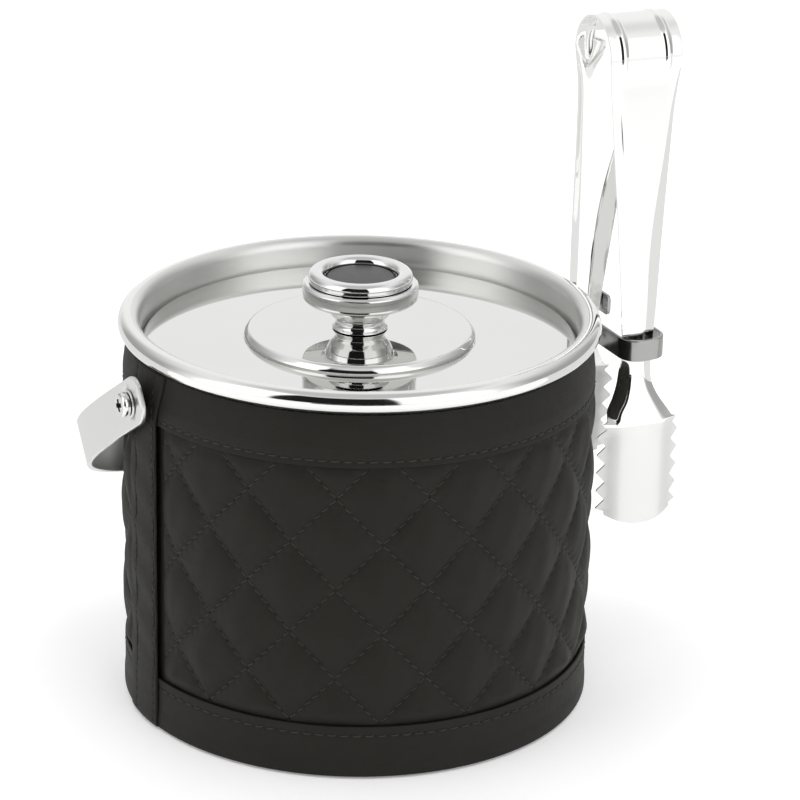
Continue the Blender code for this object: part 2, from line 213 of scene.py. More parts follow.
def fillet(points, radius, steps=4, closed=True):
    """Rounds a polyline's corners. A point may carry its own radius as a third number."""
    out, count = [], len(points)
    for i, point in enumerate(points):
        here = np.array(point[:2], float)
        if not closed and i in (0, count - 1):
            out.append(tuple(here))
            continue
        before = np.array(points[i - 1][:2], float) - here
        after = np.array(points[(i + 1) % count][:2], float) - here
        room = 0.48 * min(np.linalg.norm(before), np.linalg.norm(after))
        before, after = before / np.linalg.norm(before), after / np.linalg.norm(after)
        half = math.acos(max(-1.0, min(1.0, float(before @ after)))) / 2
        own = point[2] if len(point) > 2 else radius
        reach = min(own / max(math.tan(half), 0.05), room) if half < 1.56 else 0.0
        if reach < 1e-4:
            out.append(tuple(here))
            continue
        for t in np.linspace(0, 1, steps + 1):
            out.append(tuple(here + before * reach * (1 - t) ** 2 + after * reach * t**2))
    return out


def thicken(path, thickness):
    """The closed outline of a sheet that follows a smooth path."""
    points = np.asarray(path, float)
    along = np.gradient(points, axis=0)
    along /= np.linalg.norm(along, axis=1)[:, None]
    normal = np.stack([-along[:, 1], along[:, 0]], 1) * thickness / 2
    return np.vstack([points + normal, (points - normal)[::-1]]).tolist()


def lathe(name, profile, materials, steps=192, sharp=None):
    """A turned piece from a closed (radius, z) outline. Points on the axis are merged."""
    outline = np.asarray(profile, float)
    angles = np.linspace(0, 2 * math.pi, steps, endpoint=False)
    rings = np.stack(
        [np.outer(np.cos(angles), outline[:, 0]), np.outer(np.sin(angles), outline[:, 0]),
         np.tile(outline[:, 1], (steps, 1))], -1)
    count = len(outline)
    faces = grid_quads(steps + 1, count, wrap=True)
    faces = [[v % (steps * count) for v in face] for face in faces]
    on_axis = outline[:, 0] < 1e-6
    keep = [f for f in faces if not (on_axis[f[0] % count] and on_axis[f[1] % count])]
    return make_piece(name, rings.reshape(-1, 3), keep, materials, sharp)


def skin(name, rings, materials, sharp=None):
    """A solid skinned over closed rings of equal length, with flat ends."""
    rings = np.asarray(rings, float)
    rows, columns = rings.shape[:2]
    faces = grid_quads(rows, columns, wrap=True)
    faces += [list(range(columns))[::-1], list(range((rows - 1) * columns, rows * columns))]
    return make_piece(name, rings.reshape(-1, 3), faces, materials, sharp)


def strap_rings(path, thickness, half_widths, edge, steps=3):
    """Closed sections of a flat strap with rounded edges: (x, y) path points, width along z."""
    points = np.asarray(path, float)
    along = np.gradient(points, axis=0)
    along /= np.linalg.norm(along, axis=1)[:, None]
    normal = np.stack([-along[:, 1], along[:, 0]], 1)
    rings = []
    for point, side, half_w in zip(points, normal, half_widths):
        round_r = min(edge, half_w * 0.6)
        half_t = thickness / 2
        corner = [(half_t, half_w), (-half_t, half_w), (-half_t, -half_w), (half_t, -half_w)]
        section = fillet(corner, round_r, steps)
        rings.append([(*(point + side * t), w) for t, w in section])
    return rings


def resample(path, spacing):
    """Points at equal steps along a path."""
    points = np.asarray(path, float)
    lengths = np.concatenate([[0], np.cumsum(np.linalg.norm(np.diff(points, axis=0), axis=1))])
    count = max(2, int(round(lengths[-1] / spacing)) + 1)
    at = np.linspace(0, lengths[-1], count)
    return np.stack([np.interp(at, lengths, points[:, k]) for k in range(points.shape[1])], 1)


def smoothstep(low, high, x):
    """0 at low, 1 at high, eased at both ends."""
    t = np.clip((np.asarray(x, float) - low) / (high - low), 0, 1)
    return t * t * (3 - 2 * t)


def drill(obj, cutter):
    """Cuts one mesh out of another, gives the cut the cutter's material, and removes the cutter."""
    boolean = obj.modifiers.new("cut", "BOOLEAN")
    boolean.operation, boolean.solver, boolean.object = "DIFFERENCE", "EXACT", cutter
    boolean.material_mode = "TRANSFER"
    bpy.context.view_layer.update()
    mesh = bpy.data.meshes.new_from_object(obj.evaluated_get(bpy.context.evaluated_depsgraph_get()))
    obj.modifiers.clear()
    obj.data = mesh
    bpy.data.objects.remove(cutter)


def lay_along_x(obj, side):
    """Turns a piece lathed about Z so that its axis runs through the pivots, pointing out of that side."""
    obj.data.transform(Matrix.Translation((0, 0, PIVOT_Z * MM)) @ Matrix.Rotation(math.radians(90 * side), 4, "Y"))
    return obj


# ================================================================ materials


def add(tree, kind, inputs=None, **settings):
    """A shader node with its settings, its input values and its links."""
    node = tree.nodes.new(kind)
    for key, value in settings.items():
        setattr(node, key, value)
    for key, value in (inputs or {}).items():
        if isinstance(value, bpy.types.NodeSocket):
            tree.links.new(value, node.inputs[key])
        else:
            node.inputs[key].default_value = value
    return node


def math_node(tree, operation, a, b=None):
    inputs = {0: a} if b is None else {0: a, 1: b}
    return add(tree, "ShaderNodeMath", inputs, operation=operation).outputs[0]


def times(tree, a, b):
    return math_node(tree, "MULTIPLY", a, b)


def plus(tree, a, b):
    return math_node(tree, "ADD", a, b)


def ramp(tree, value, x_low, x_high, low, high):
    """A value carried from x_low to x_high over to low to high, eased at both ends."""
    inputs = {"Value": value, "From Min": x_low, "From Max": x_high, "To Min": low, "To Max": high}
    return add(tree, "ShaderNodeMapRange", inputs, interpolation_type="SMOOTHSTEP").outputs[0]


def start_material(name, **constants):
    """A Principled material with its constants on the shader's own sockets. Gives (material, tree, shader)."""
    material = bpy.data.materials.new(name)
    material.use_nodes = True
    tree = material.node_tree
    shader = tree.nodes["Principled BSDF"]
    for key, value in constants.items():
        shader.inputs[key.replace("_", " ")].default_value = value
    return material, tree, shader


def mix_colours(tree, factor, first, second):
    node = add(tree, "ShaderNodeMix", {"Factor": factor}, data_type="RGBA")
    node.inputs["A"].default_value = (*first, 1)
    node.inputs["B"].default_value = (*second, 1)
    return node.outputs["Result"]


def spread(tree, value, low, high):
    """A 0 to 1 value carried over to low to high."""
    node = add(tree, "ShaderNodeMapRange", {"Value": value, "To Min": low, "To Max": high})
    return node.outputs["Result"]


def noise(tree, vector, scale, detail=3.0, roughness=0.55):
    node = add(tree, "ShaderNodeTexNoise",
               {"Vector": vector, "Scale": scale, "Detail": detail, "Roughness": roughness})
    return node.outputs["Fac"]


def place(tree):
    return add(tree, "ShaderNodeTexCoord").outputs["Object"]


def dress(tree, shader, rough, colour, height, depth):
    """Wires a material's gloss, its colour and its relief into the shader."""
    tree.links.new(rough, shader.inputs["Roughness"])
    tree.links.new(colour, shader.inputs["Base Color"])
    relief = add(tree, "ShaderNodeBump", {"Height": height, "Distance": depth, "Strength": 1.0})
    tree.links.new(relief.outputs["Normal"], shader.inputs["Normal"])


def darkened(colour, share):
    return tuple(c * share for c in colour)


def turned_place(tree, around, outwards):
    """Object coordinates wrapped round the Z axis: slow round the turn, fast across it, for brushed streaks."""
    split = add(tree, "ShaderNodeSeparateXYZ", {"Vector": place(tree)})
    x, y, z = split.outputs
    radius = math_node(tree, "SQRT", plus(tree, times(tree, x, x), times(tree, y, y)))
    reach = times(tree, plus(tree, radius, z), outwards)
    scale = math_node(tree, "MAXIMUM", radius, 0.001)
    joined = add(tree, "ShaderNodeCombineXYZ", {
        "X": times(tree, math_node(tree, "DIVIDE", x, scale), around),
        "Y": times(tree, math_node(tree, "DIVIDE", y, scale), around),
        "Z": reach})
    return joined.outputs[0]


def polished_steel(name, colour, low, high, ripple):
    """Mirror-polished sheet: faint smears in its gloss and a slight waviness left by pressing."""
    material, tree, shader = start_material(name, Metallic=1.0)
    where = place(tree)
    dress(tree, shader, spread(tree, noise(tree, where, 55, 4), low, high),
          mix_colours(tree, noise(tree, where, 24, 2), darkened(colour, 0.95), colour),
          noise(tree, where, 90, 2), ripple)
    return material


def brushed_steel(name, colour, low, high, depth):
    """Satin steel with fine streaks round the axis it was turned on, which draw its highlights out across them."""
    material, tree, shader = start_material(name, Metallic=1.0, Anisotropic=0.7, Anisotropic_Rotation=0.25)
    tree.links.new(add(tree, "ShaderNodeTangent", direction_type="RADIAL", axis="Z").outputs[0],
                   shader.inputs["Tangent"])
    streaks = noise(tree, turned_place(tree, 6.0, 2600.0), 1.0, 4, 0.6)
    broad = noise(tree, turned_place(tree, 3.0, 260.0), 1.0, 2)
    both = plus(tree, times(tree, streaks, 0.7), times(tree, broad, 0.3))
    dress(tree, shader, spread(tree, both, low, high), mix_colours(tree, both, darkened(colour, 0.9), colour),
          streaks, depth)
    return material


def blasted_steel(name, colour):
    """The fine even satin of the tongs' claws."""
    material, tree, shader = start_material(name, Metallic=1.0)
    where = place(tree)
    grain = noise(tree, where, 2600, 2)
    dress(tree, shader, spread(tree, noise(tree, where, 130, 3), 0.4, 0.5),
          mix_colours(tree, grain, darkened(colour, 0.93), colour), grain, 0.00002)
    return material


def leather(name, dark, light):
    """Black leather: pores and creases at two sizes, a slightly uneven dye and a soft sheen."""
    material, tree, shader = start_material(name, Specular_IOR_Level=0.16)
    where = place(tree)
    relief = []
    for scale, deepest, share in ((1500.0, 0.25, 2.4), (520.0, 0.12, 2.0)):
        cells = add(tree, "ShaderNodeTexVoronoi", {"Vector": where, "Scale": scale}, feature="DISTANCE_TO_EDGE")
        relief.append(times(tree, math_node(tree, "MINIMUM", cells.outputs["Distance"], deepest), share))
    dress(tree, shader, spread(tree, noise(tree, where, 340, 3), 0.5, 0.64),
          mix_colours(tree, noise(tree, where, 60, 4), dark, light), plus(tree, *relief), 0.00006)
    return material


def thread(name, colour):
    """Bonded thread: two plies twisted together, darker in the grooves between them, which is painted shade."""
    material, tree, shader = start_material(name, Specular_IOR_Level=0.3)
    where = place(tree)
    plies_and_groove_shade = add(tree, "ShaderNodeTexWave", {"Vector": where, "Scale": 900.0, "Distortion": 2.0},
                wave_type="BANDS", bands_direction="DIAGONAL").outputs["Fac"]
    # the colour follows the plies' relief and is darker in their grooves: painted shade
    dress(tree, shader, spread(tree, noise(tree, where, 700, 2), 0.5, 0.66),
          mix_colours(tree, plies_and_groove_shade, darkened(colour, 0.6), colour), plies_and_groove_shade, 0.00005)
    return material


def plain_grain(name, dark, light, rough, scale, depth, metallic=0.0):
    """Moulded plastic, foam or cast metal: two tones and one size of grain."""
    material, tree, shader = start_material(name, Metallic=metallic)
    where = place(tree)
    grain = noise(tree, where, scale, 4)
    dress(tree, shader, spread(tree, noise(tree, where, scale / 6, 2), *rough),
          mix_colours(tree, grain, dark, light), grain, depth)
    return material


CHROME = polished_steel("chromed_knob", (0.80, 0.80, 0.795), 0.02, 0.05, 0.000004)
LID_STEEL = polished_steel("mirror_lid", (0.78, 0.785, 0.765), 0.015, 0.035, 0.0000015)
TONGS_STEEL = polished_steel("polished_tongs", (0.90, 0.90, 0.89), 0.03, 0.07, 0.00001)
STRAP_STEEL = polished_steel("strap_steel", (0.80, 0.80, 0.79), 0.26, 0.36, 0.00002)
CLIP_STEEL = polished_steel("clip_steel", (0.38, 0.38, 0.375), 0.16, 0.26, 0.00001)
BEAD_STEEL = polished_steel("bead_steel", (0.84, 0.84, 0.82), 0.06, 0.1, 0.000004)
RIM_STEEL = brushed_steel("satin_rim", (0.78, 0.78, 0.765), 0.3, 0.42, 0.000004)
BOWL_STEEL = brushed_steel("satin_bowl", (0.74, 0.74, 0.73), 0.3, 0.44, 0.00001)
CLAW_STEEL = blasted_steel("satin_claws", (0.84, 0.84, 0.83))
BRASS = plain_grain("nickelled_brass", (0.50, 0.40, 0.25), (0.72, 0.62, 0.45), (0.2, 0.34), 900, 0.00001, 1.0)
HIDE = leather("black_leather_hide", (0.0135, 0.0128, 0.0104), (0.018, 0.0172, 0.014))
THREAD = thread("black_thread", (0.046, 0.044, 0.038))
# near-black: painted shade in the needle holes, the seam strips' pivot holes and the screw heads' cross recesses
PAINTED_HOLE_SHADE = plain_grain("painted_hole_shade", (0.003, 0.003, 0.003), (0.006, 0.006, 0.006), (0.7, 0.9), 900, 0.00001)
INLAY = plain_grain("moulded_inlay", (0.018, 0.018, 0.018), (0.03, 0.03, 0.029), (0.3, 0.42), 2400, 0.00001)
PLASTIC = plain_grain("moulded_base", (0.02, 0.02, 0.02), (0.035, 0.035, 0.034), (0.5, 0.65), 1500, 0.00003)
FOAM = plain_grain("poured_foam", (0.66, 0.6, 0.44), (0.82, 0.77, 0.6), (0.85, 0.98), 1100, 0.0002)

# ================================================================ vessel


def inner_liner():
    """Bowl, ledge and rolled rim from one sheet, brushed inside and finer on the bead."""
    path = [(0.0, BOWL_FLOOR_Z), (40.0, BOWL_FLOOR_Z)] + arc(BOWL_R - 9, BOWL_FLOOR_Z + 9, 9, -90, 0, 10)
    path += fillet([(BOWL_R, BOWL_FLOOR_Z + 20), (BOWL_R, LEDGE_Z - 1.2, 0.8), (BOWL_R + 1.2, LEDGE_Z, 0.8),
                    (LEDGE_R, LEDGE_Z, 0.9), (LEDGE_R, BEAD_Z - 6)], 0.8, 5, closed=False)
    wall_r = BEAD_R - BEAD_TUBE_R + LINER_T / 2
    path += [(LEDGE_R - 0.3, BEAD_Z - 3.5), (wall_r - 0.1, BEAD_Z - 1.8)]
    path += arc(BEAD_R, BEAD_Z, BEAD_TUBE_R - LINER_T / 2, 180, -110, 40)
    outline = thicken(path, LINER_T)
    outline[0][0] = outline[-1][0] = 0.0
    liner = lathe("bowl_and_rim", outline, [BOWL_STEEL, RIM_STEEL, BEAD_STEEL], 256, sharp=50)
    for face in liner.data.polygons:
        radius, height = face.center.xy.length / MM, face.center.z / MM
        if radius > BEAD_R - 0.6:
            face.material_index = 2
        elif height > LEDGE_Z:
            face.material_index = 1
    finish_piece(liner, "bucket", "satin_steel", "inner_liner")


# ================================================================ leather jacket


def on_wall(azimuth, radius, z):
    """Points round the bucket, from azimuths in degrees."""
    angle = np.radians(azimuth)
    return np.stack([radius * np.cos(angle), radius * np.sin(angle), z], -1)


def lattice(azimuth, z, panel):
    """The two slanting coordinates of the quilting: each stitch line is where one of them is a whole number."""
    across = (azimuth - QUILT_AZIMUTH[panel]) / CELL_W
    up = (z - QUILT_Z) / CELL_H
    return across + up, across - up


def cell_spacing():
    """Distance between neighbouring stitch lines of one family."""
    width = math.radians(CELL_W) * SEAM_R
    return 1 / math.hypot(1 / width, 1 / CELL_H)


def cell_side():
    return math.hypot(math.radians(CELL_W) * SEAM_R, CELL_H) / 2


def swell(distance):
    """How full the padding is at a distance from a stitch line: 0 on it, 1 halfway to the next."""
    x = np.clip((np.sqrt(distance**2 + 0.25) - 0.5) / (cell_spacing() / 2 - 0.45), 0, 1)
    return (1 - (1 - x) ** 2.3) ** 0.72


def quilt_radius(azimuth, z, panel):
    """Radius of a quilted panel's outer face: padding between the stitch lines, tucked in under the bands and at
    the seam strips."""
    a, b = lattice(azimuth, z, panel)
    spacing = cell_spacing()
    off_a = np.abs(a - np.round(a)) * spacing
    off_b = np.abs(b - np.round(b)) * spacing
    ends = PANEL_RANGE[panel]
    from_end = np.minimum(azimuth - ends[0], ends[1] - azimuth)
    to_strip = np.radians(from_end - GROOVE_END) * SEAM_R
    edge = smoothstep(-0.5, 5.0, TOP_BAND_Z - z) * smoothstep(-0.5, 5.0, z - BOTTOM_BAND_Z)
    edge = edge * (0.45 + 0.55 * smoothstep(0.0, 6.0, to_strip))
    wander = 0.10 * np.sin(azimuth * 0.37 + z * 0.11) + 0.07 * np.sin(azimuth * 0.83 - z * 0.19 + 1.3)
    puff = PUFF * swell(off_a) * swell(off_b) * (1 + wander)
    # each stitch pulls the skin in at its needle hole, and gathers it a little between the holes
    pull = np.zeros_like(puff)
    for along, off in ((b, off_a), (a, off_b)):
        phase = along * STITCHES_PER_SIDE
        to_hole = np.abs(phase - np.round(phase)) * cell_side() / STITCHES_PER_SIDE
        pull += HOLE_PULL * np.exp(-(to_hole**2 + off**2) / HOLE_SPREAD**2)
        pull += GATHER * np.exp(-((off - GATHER_OFF) / GATHER_SPREAD) ** 2) * np.cos(2 * math.pi * phase)
    tucked = JACKET_BACK_R + 0.9
    rise = smoothstep(-1.4, 0.6, TOP_BAND_Z - z) * smoothstep(-1.4, 0.6, z - BOTTOM_BAND_Z)
    rise = rise * smoothstep(-0.9, 0.25, to_strip)
    return tucked + (SEAM_R - tucked + puff * edge - pull) * rise


def quilted_panel(panel):
    """A puffed skin closed by a plain back. The grid is fine enough to carry every needle hole."""
    low_az, high_az = PANEL_RANGE[panel]
    azimuths = np.linspace(low_az + PANEL_END, high_az - PANEL_END, 600)
    heights = np.linspace(BOTTOM_BAND_Z - 4.0, TOP_BAND_Z + 4.0, 250)
    az, z = np.meshgrid(azimuths, heights)
    outer = on_wall(az, quilt_radius(az, z, panel), z)
    back = [on_wall(azimuths, np.full_like(azimuths, JACKET_BACK_R), np.full_like(azimuths, heights[k]))
            for k in (0, -1)]
    rows, columns = outer.shape[:2]
    points = np.vstack([outer.reshape(-1, 3), back[0], back[1]])
    faces = grid_quads(rows, columns)
    low, high = rows * columns, rows * columns + columns
    top = (rows - 1) * columns
    for c in range(columns - 1):
        faces.append([low + c, low + c + 1, c + 1, c])
        faces.append([top + c, top + c + 1, high + c + 1, high + c])
        faces.append([high + c, high + c + 1, low + c + 1, low + c])
    faces.append([r * columns for r in range(rows)] + [high, low])
    faces.append([r * columns + columns - 1 for r in range(rows)][::-1] + [low + columns - 1, high + columns - 1])
    obj = make_piece(f"quilted_leather_{panel}", points, faces, HIDE, sharp=60)
    finish_piece(obj, "bucket", "black_leather", f"quilted_panel_{panel}")


PIT_R = 0.5  # the near-black pits that paint the shade in the needle holes
PIT_SIDES = 8
THREAD_SIDES = 6


def stitch_mesh(name, stitches, width):
    """Many stitches in one mesh. Each is (from, to, outward): it dives into the leather at both ends and lies
    proud of it between them. A near-black pit, painted shade, fills the needle hole where each one starts."""
    # place along the stitch, height over its ends, thickness
    profile = [(-0.5, -0.55, 0.4), (-0.44, -0.1, 0.8), (-0.28, 0.2, 1.0), (0.0, 0.3, 1.06), (0.28, 0.2, 1.0),
               (0.44, -0.1, 0.8), (0.5, -0.55, 0.4)]
    points, faces = [], []
    for start, end, out in stitches:
        along = end - start
        beside = np.cross(along / np.linalg.norm(along), out)
        base = len(points)
        for t, lift, fat in profile:
            middle = (start + end) / 2 + along * t + out * lift * 0.62
            for k in range(THREAD_SIDES):
                turn = 2 * math.pi * k / THREAD_SIDES
                points.append(middle + (beside * math.cos(turn) + out * math.sin(turn) * 0.8) * width * fat)
        faces += [[base + v for v in quad] for quad in grid_quads(len(profile), THREAD_SIDES, wrap=True)]
        faces.append([base + k for k in range(THREAD_SIDES)][::-1])
        faces.append([base + (len(profile) - 1) * THREAD_SIDES + k for k in range(THREAD_SIDES)])
    first_shade_pit = len(points)
    for start, end, out in stitches:
        along = (end - start) / np.linalg.norm(end - start)
        beside = np.cross(along, out)
        base, at = len(points), start - along * 0.42 - out * 0.16
        for k in range(PIT_SIDES):
            turn = 2 * math.pi * k / PIT_SIDES
            points.append(at + along * math.cos(turn) * PIT_R * 1.35 + beside * math.sin(turn) * PIT_R)
        points += [at + out * 0.2, at - out * 0.3]
        for k in range(PIT_SIDES):
            after = base + (k + 1) % PIT_SIDES
            faces += [[base + k, after, base + PIT_SIDES], [after, base + k, base + PIT_SIDES + 1]]
    # the pits take the second, near-black material: painted shade in the needle holes
    obj = make_piece(name, points, faces, [THREAD, PAINTED_HOLE_SHADE])
    for face in obj.data.polygons:
        if min(face.vertices) >= first_shade_pit:
            face.material_index = 1
    finish_piece(obj, "bucket", "black_leather")


def outward(azimuth):
    """The level direction away from the axis at an azimuth."""
    angle = math.radians(azimuth)
    return np.array([math.cos(angle), math.sin(angle), 0.0])


def quilt_stitches(panel):
    """The thread along both families of slanting lines. Each stitch leans a little across its line, as lockstitch
    does."""
    low_az, high_az = PANEL_RANGE[panel]
    low_az, high_az = low_az + GROOVE_END - 0.2, high_az - GROOVE_END + 0.2
    reach = 1.0 / STITCHES_PER_SIDE
    stitches = []
    for family in (0, 1):
        for line in range(-12, 13):
            for step in range(-14 * STITCHES_PER_SIDE, 14 * STITCHES_PER_SIDE):
                ends = []
                for k in (0.11, 0.89):
                    along, over = (step + k) * reach, line + (0.012 if k > 0.5 else -0.012)
                    a, b = (over, along) if family == 0 else (along, over)
                    azimuth = QUILT_AZIMUTH[panel] + (a + b) / 2 * CELL_W
                    ends.append((azimuth, QUILT_Z + (a - b) / 2 * CELL_H))
                if all(low_az < az < high_az and BOTTOM_BAND_Z + 0.3 < z < TOP_BAND_Z - 0.3 for az, z in ends):
                    spots = [on_wall(az, quilt_radius(np.array(az), np.array(z), panel), z) for az, z in ends]
                    stitches.append((*spots, outward(sum(az for az, _ in ends) / 2)))
    stitch_mesh(f"quilt_thread_{panel}", stitches, 0.22)


def band_dents(azimuth, z, line_z, pitch_deg):
    """How far a row of stitches pulls a band in: a groove with a pit at each needle hole."""
    phase = azimuth / pitch_deg
    to_hole = np.abs(phase - np.round(phase)) * math.radians(pitch_deg) * BAND_R
    groove = 0.16 * np.exp(-(((z - line_z) / 1.1) ** 2))
    return groove + 0.36 * np.exp(-(to_hole**2 + (z - line_z) ** 2) / HOLE_SPREAD**2)


def band(name, node, panel, outline, line_z):
    """A folded strip of leather swept round half the bucket, with its stitch row pressed in."""
    low_az, high_az = PANEL_RANGE[panel]
    azimuths = np.linspace(low_az + PANEL_END, high_az - PANEL_END, 560)
    pitch_deg = math.degrees(BAND_PITCH / BAND_R)
    rings = []
    for az in azimuths:
        points = np.array(outline, float)
        face = smoothstep(JACKET_BACK_R + 1.6, JACKET_BACK_R + 2.2, points[:, 0])
        pressed = band_dents(az, points[:, 1], line_z, pitch_deg)
        radius = points[:, 0] - pressed * face
        rings.append(on_wall(np.full(len(points), az), radius, points[:, 1]))
    obj = skin(name, rings, HIDE, sharp=60)
    finish_piece(obj, "bucket", "black_leather", node)
    stitches = []
    first, last = math.ceil((low_az + GROOVE_END) / pitch_deg), math.floor((high_az - GROOVE_END) / pitch_deg)
    for step in range(first - 1, last + 1):
        spots = []
        for k, dz in ((0.16, -0.1), (0.84, 0.1)):
            az = (step + k) * pitch_deg
            spots.append(on_wall(az, BAND_R - 0.2, line_z + dz))
        stitches.append((*spots, outward((step + 0.5) * pitch_deg)))
    stitch_mesh(f"{name}_thread", stitches, 0.24)


def jacket():
    """Both quilted panels with their thread, and the folded bands that cover their upper and lower edges."""
    fold = 0.75
    tuck = JACKET_BACK_R + 1.35
    for panel in ("front", "rear"):
        quilted_panel(panel)
        quilt_stitches(panel)
        top = [(tuck, TOP_BAND_Z + 0.3, 0.3), (BAND_R, TOP_BAND_Z, fold), (BAND_R, LEAN_Z, 12.0),
               (BAND_R - LEAN, JACKET_TOP_Z, 0.5),
               (JACKET_BACK_R + 0.1, JACKET_TOP_Z, 0.3), (JACKET_BACK_R + 0.1, TOP_BAND_Z + 9, 0.2),
               (tuck, TOP_BAND_Z + 6, 0.3)]
        face = [(BAND_R, z) for z in np.arange(TOP_BAND_Z + 1.0, TOP_BAND_Z + 4.2, 0.32)]
        band(f"top_band_leather_{panel}", f"top_band_{panel}", panel, weave_in(fillet(top, fold, 6), face),
             TOP_BAND_Z + 2.3)
        bottom = [(JACKET_BACK_R, 2.0, 0.3), (79.6, 0.75, 1.0), (HEM_R, 0.7, 2.8), (HEM_R, 4.6, 2.0),
                  (BAND_R, 8.0, 3.0), (BAND_R, BOTTOM_BAND_Z, fold), (tuck, BOTTOM_BAND_Z - 0.3, 0.3),
                  (tuck, 10.0, 0.3), (JACKET_BACK_R, 8.7, 0.3)]
        face = [(BAND_R, z) for z in np.arange(BOTTOM_BAND_Z - 5.2, BOTTOM_BAND_Z - 1.2, 0.32)]
        band(f"bottom_band_leather_{panel}", f"bottom_band_{panel}", panel,
             weave_in(fillet(bottom, fold, 6), face), BOTTOM_BAND_Z - 3.5)


def weave_in(outline, extra):
    """Adds points to an outline's outer face, where the stitches need them, keeping the order round it."""
    radius = extra[0][0]
    low, high = min(z for _, z in extra), max(z for _, z in extra)
    for i, (here, after) in enumerate(zip(outline, outline[1:] + outline[:1])):
        on_face = abs(here[0] - radius) < 0.05 and abs(after[0] - radius) < 0.05
        if on_face and min(here[1], after[1]) <= low and max(here[1], after[1]) >= high:
            ordered = sorted(extra, key=lambda p: p[1], reverse=bool(here[1] > after[1]))
            return outline[: i + 1] + ordered + outline[i + 1 :]
    raise ValueError("the outline has no straight face round the stitch line")


def strip_hem(z):
    """How far a seam strip stands out over the bottom hem."""
    return 0.15 * (1 - smoothstep(3.5, 8.6, z))


def strip_lean(z):
    """How far it leans in under the rim."""
    return 1.25 * LEAN * smoothstep(LEAN_Z - 3, JACKET_TOP_Z + 3, z)


def over_top_band(z):
    """How much the top band under it lifts it."""
    return 0.14 * smoothstep(TOP_BAND_Z - 3, TOP_BAND_Z + 1, z)


def seam_strip(side):
    """A strip over the panels' joint. Its edges are turned under, it rides over the bands, and the quilting below
    it lifts and drops it slightly."""
    middle = 180.0 if side == "left" else 0.0
    front = 1 if side == "left" else -1
    lines = [front * turn for turn in STRIP_LINES]
    across = np.concatenate([np.linspace(-1, -0.87, 8), np.linspace(-0.85, 0.85, 60), np.linspace(0.87, 1, 8)])
    heights = np.concatenate([np.linspace(1.0, 9.0, 22), np.linspace(9.4, JACKET_TOP_Z - 0.6, 300),
                              [JACKET_TOP_Z - 0.2, JACKET_TOP_Z]])
    part, z = np.meshgrid(across, heights)
    flare = STRIP_FLARE * smoothstep(TOP_BAND_Z - 2, JACKET_TOP_Z, z)
    reach = np.where(part * front > 0, STRIP_FRONT + flare, STRIP_REAR)
    off = part * reach
    az = middle + off
    body = STRIP_R + strip_hem(z) - strip_lean(z)
    edge = np.radians(reach - np.abs(off)) * STRIP_R
    fold = 0.55 * (1 - np.sqrt(np.clip(1 - (1 - np.clip(edge / 0.8, 0, 1)) ** 2, 0, 1)))
    hem = 0.5 * (1 - smoothstep(1.0, 2.4, z)) + 0.35 * smoothstep(JACKET_TOP_Z - 0.5, JACKET_TOP_Z, z)
    over_bands = over_top_band(z) + 0.14 * (1 - smoothstep(BOTTOM_BAND_Z - 1, BOTTOM_BAND_Z + 3, z))
    wave = np.sin(z * 2 * math.pi / (CELL_H / 2) + off * 0.2)
    slack = 0.16 * wave * smoothstep(20, 30, z) * (1 - smoothstep(100, 110, z))
    pressed = np.zeros_like(z)
    for line in lines:
        to_line = np.radians(off - line) * STRIP_R
        to_hole = np.abs(z / STRIP_PITCH - np.round(z / STRIP_PITCH)) * STRIP_PITCH
        pressed += 0.13 * np.exp(-((to_line / 0.9) ** 2)) + 0.32 * np.exp(-(to_line**2 + to_hole**2) / 0.4**2)
    radius = body + over_bands + slack - fold - hem - pressed
    outer = on_wall(az, radius, z)
    inner_r = STRIP_BACK_R + strip_hem(heights) - strip_lean(heights)
    rows, columns = outer.shape[:2]
    rings = []
    for r in range(rows):
        inner = on_wall(az[r][::-1], np.full(columns, inner_r[r]), np.full(columns, heights[r]))
        rings.append(np.vstack([outer[r], inner]))
    obj = skin(f"seam_strip_leather_{side}", rings, HIDE, sharp=60)
    # the cutter's near-black material goes onto the pivot hole's walls: painted shade in the hole
    hole = lathe("hole", [(0, 70), (2.5, 70), (2.5, 90), (0, 90)], PAINTED_HOLE_SHADE, 24)
    drill(obj, lay_along_x(hole, -1 if side == "left" else 1))
    finish_piece(obj, "bucket", "black_leather", f"seam_strip_{side}")
    stitches = []
    for line in lines:
        azimuth = middle + line
        for step in range(2, int(JACKET_TOP_Z / STRIP_PITCH) - 1):
            spots = []
            for k, d in ((0.15, -0.08), (0.85, 0.08)):
                height = (step + k) * STRIP_PITCH
                at = STRIP_R - 0.12 + strip_hem(height) - strip_lean(height) + over_top_band(height)
                spots.append(on_wall(azimuth + d, at, height))
            stitches.append((*spots, outward(azimuth)))
    stitch_mesh(f"seam_strip_thread_{side}", stitches, 0.2)


def base():
    """The leather-covered bottom, with the shallow recess of the plate above it pressed into its middle."""
    profile = [(0, 0.35), (60, 0.35), (64, 0.0), (76.6, 0.0), (78.2, 0.4), (78.2, 1.3), (77.6, 1.6), (0, 1.6)]
    cover = lathe("base_leather", profile, HIDE, 192, sharp=40)
    finish_piece(cover, "bucket", "black_leather", "base_cover")


# ================================================================ pivots, bail and clip


def phillips(obj, top, size, depth):
    """Cuts a tapered cross into a screw head lathed about Z; its near-black walls are painted shade in the recess.
    """
    for turn in (0, 90):
        rings = []
        for z, half, thick in ((top + 0.6, size, size * 0.34), (top - depth * 0.5, size * 0.86, size * 0.3),
                               (top - depth, size * 0.35, size * 0.16)):
            rings.append([(-half, -thick, z), (half, -thick, z), (half, thick, z), (-half, thick, z)])
        arm = skin("arm", rings, PAINTED_HOLE_SHADE)
        arm.data.transform(Matrix.Rotation(math.radians(turn + 20), 4, "Z"))
        drill(obj, arm)


